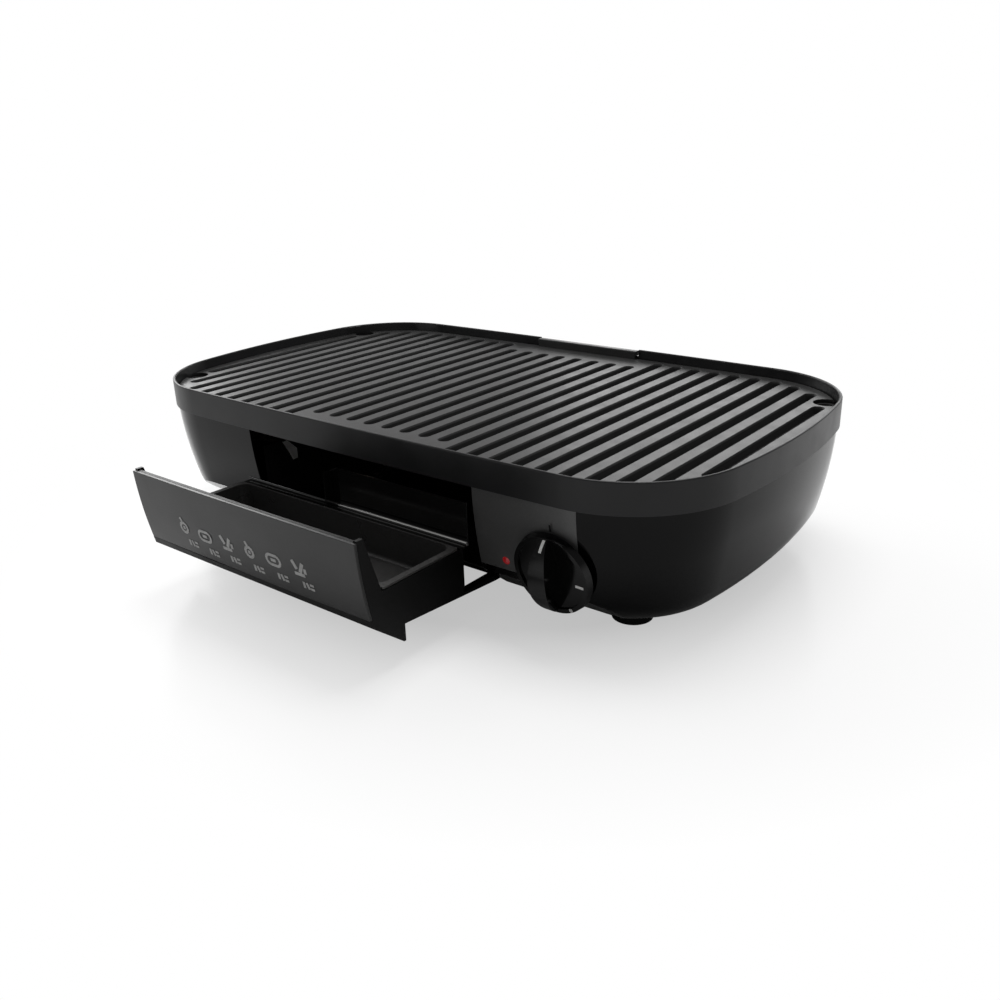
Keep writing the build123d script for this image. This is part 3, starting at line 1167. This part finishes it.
def wires():
    """Insulated leads in the right compartment, as straight runs joined by arcs."""
    tab_low = TERMINAL_Z - BUSH_LENGTH - TAB_LENGTH
    block_top = FLOOR_TOP + BLOCK_HEIGHT
    clamp_front = GLAND_PLANE.origin - GLAND_PLANE.z_dir * (GLAND_LENGTH + CLAMP_SETBACK + CLAMP_WIDTH / 2)
    inside = clamp_front - GLAND_PLANE.z_dir * 14
    live_x, neutral_x = block_holes()
    fuse_end = FUSE_X + FUSE_LENGTH / 2
    top, above = behind_thermostat(8, 6, 18)
    low, under = behind_thermostat(4, -10, 22)
    live = [
        clamp_front, inside, Vector(live_x, BLOCK_Y + 12, block_top + 19.5),
        Vector(live_x, BLOCK_Y, block_top + 17.5), Vector(live_x, BLOCK_Y, block_top),
    ]
    switched = [
        Vector(neutral_x, BLOCK_Y, block_top), Vector(neutral_x, BLOCK_Y, block_top + 13.5),
        Vector(neutral_x - 6, -30, block_top + 17.5), above, top,
    ]
    to_element = [
        low, under, Vector(RETURN_X, -TERMINAL_Y - 22, tab_low - 17),
        Vector(RETURN_X, -TERMINAL_Y, tab_low - 15), Vector(RETURN_X, -TERMINAL_Y, tab_low),
    ]
    to_fuse = [
        Vector(RETURN_X, TERMINAL_Y, tab_low), Vector(RETURN_X, TERMINAL_Y, tab_low - 13),
        Vector(RETURN_X - 4, FUSE_Y, tab_low - 9), Vector(fuse_end + 16, FUSE_Y, FUSE_Z),
        Vector(fuse_end, FUSE_Y, FUSE_Z),
    ]
    return {
        "wire_inlet": tube(live, [8, 6, 5], WIRE_RADIUS),
        "wire_thermostat": tube(switched, [8, 14, 8], WIRE_RADIUS),
        "wire_element": tube(to_element, [10, 10, 6], WIRE_RADIUS),
        "wire_fuse": tube(to_fuse, [8, 8, 6], WIRE_RADIUS),
    }


def drawn_out(shape):
    """Moves a drawer piece from its shut place to where the drawer stands pulled out."""
    if isinstance(shape, list):
        return [Pos(0, -DRAWER_OUT, 0) * piece for piece in shape]
    return Pos(0, -DRAWER_OUT, 0) * shape


nodes = {
    "base_shell": base_shell(),
    "rim_frame": rim_frame(),
    "grill_plate": grill_plate(),
    "bay_liner": bay_liner(),
    "reflector_plate": reflector_plate(),
    "heating_element": heating_element(),
    "element_brackets": element_brackets(),
    "element_bushes": element_bushes(),
    "element_tabs": element_tabs(),
    "drawer_front": drawn_out(drawer_front()),
    "drawer_body": drawn_out(drawer_body()),
    "drawer_arms": drawn_out(drawer_arms()),
    "drawer_baffle": drawn_out(drawer_baffle()),
    "drawer_pan": drawn_out(drawer_pan()),
    "drawer_screws": drawn_out(drawer_screws()),
    "runner_left": drawer_runner(-1),
    "runner_right": drawer_runner(1),
    "catch_spring": catch_spring(),
    "control_panel": control_panel(),
    "control_knob": control_knob(),
    "knob_pointer": knob_pointer(),
    "thermostat_shaft": thermostat_shaft(),
    "thermostat_cam": thermostat_cam(),
    "thermostat_body": thermostat_body(),
    "thermostat_cover": thermostat_cover(),
    "contact_leaf": contact_leaf(),
    "thermostat_bracket": thermostat_bracket(),
    "capillary_bulb": capillary_bulb(),
    "capillary_tube": capillary_tube(),
    "bulb_clip": bulb_clip(),
    "indicator_lamp": indicator_lamp(),
    "lamp_lens": lamp_lens(),
    "terminal_block": terminal_block(),
    "terminal_screws": terminal_screws(),
    "thermal_fuse": thermal_fuse(),
    "fuse_clip": fuse_clip(),
    "rubber_feet": rubber_feet(),
    "assembly_screws": assembly_screws(),
    "reflector_screws": reflector_screws(),
    "cord_gland": cord_gland(),
    "cord_clamp": cord_clamp(),
}
nodes.update(wires())


def spread(shape):
    """All solids of a node as one list."""
    shapes = shape if isinstance(shape, list) else [shape]
    return [solid for piece in shapes for solid in piece.solids()]


solids = {name: spread(shape) for name, shape in nodes.items()}
everything = [solid.bounding_box() for group in solids.values() for solid in group]
low_y = min(b.min.Y for b in everything)
high_y = max(b.max.Y for b in everything)
FRAME_Y = -(low_y + high_y) / 2

os.makedirs("parts", exist_ok=True)
for name, group in solids.items():
    moved = [Pos(0, FRAME_Y, 0) * solid for solid in group]
    export_step(Compound(children=moved) if len(moved) > 1 else moved[0], f"parts/{name}.step")

knob_at = KNOB_PLANE.origin
gland_at = GLAND_PLANE.origin + GLAND_PLANE.z_dir * GLAND_FLANGE
print("frame shift in Y", round(FRAME_Y, 4), "whole depth", round(high_y - low_y, 3))
print("knob axis at", round(knob_at.X, 4), round(knob_at.Y + FRAME_Y, 4), round(knob_at.Z, 4))
print("knob axis points", KNOB_PLANE.z_dir)
print("gland mouth at", round(gland_at.X, 4), round(gland_at.Y + FRAME_Y, 4), round(gland_at.Z, 4))
print("gland axis points", GLAND_PLANE.z_dir)
print("feet at", FOOT_X, round(FOOT_Y + FRAME_Y, 4), round(-FOOT_Y + FRAME_Y, 4))
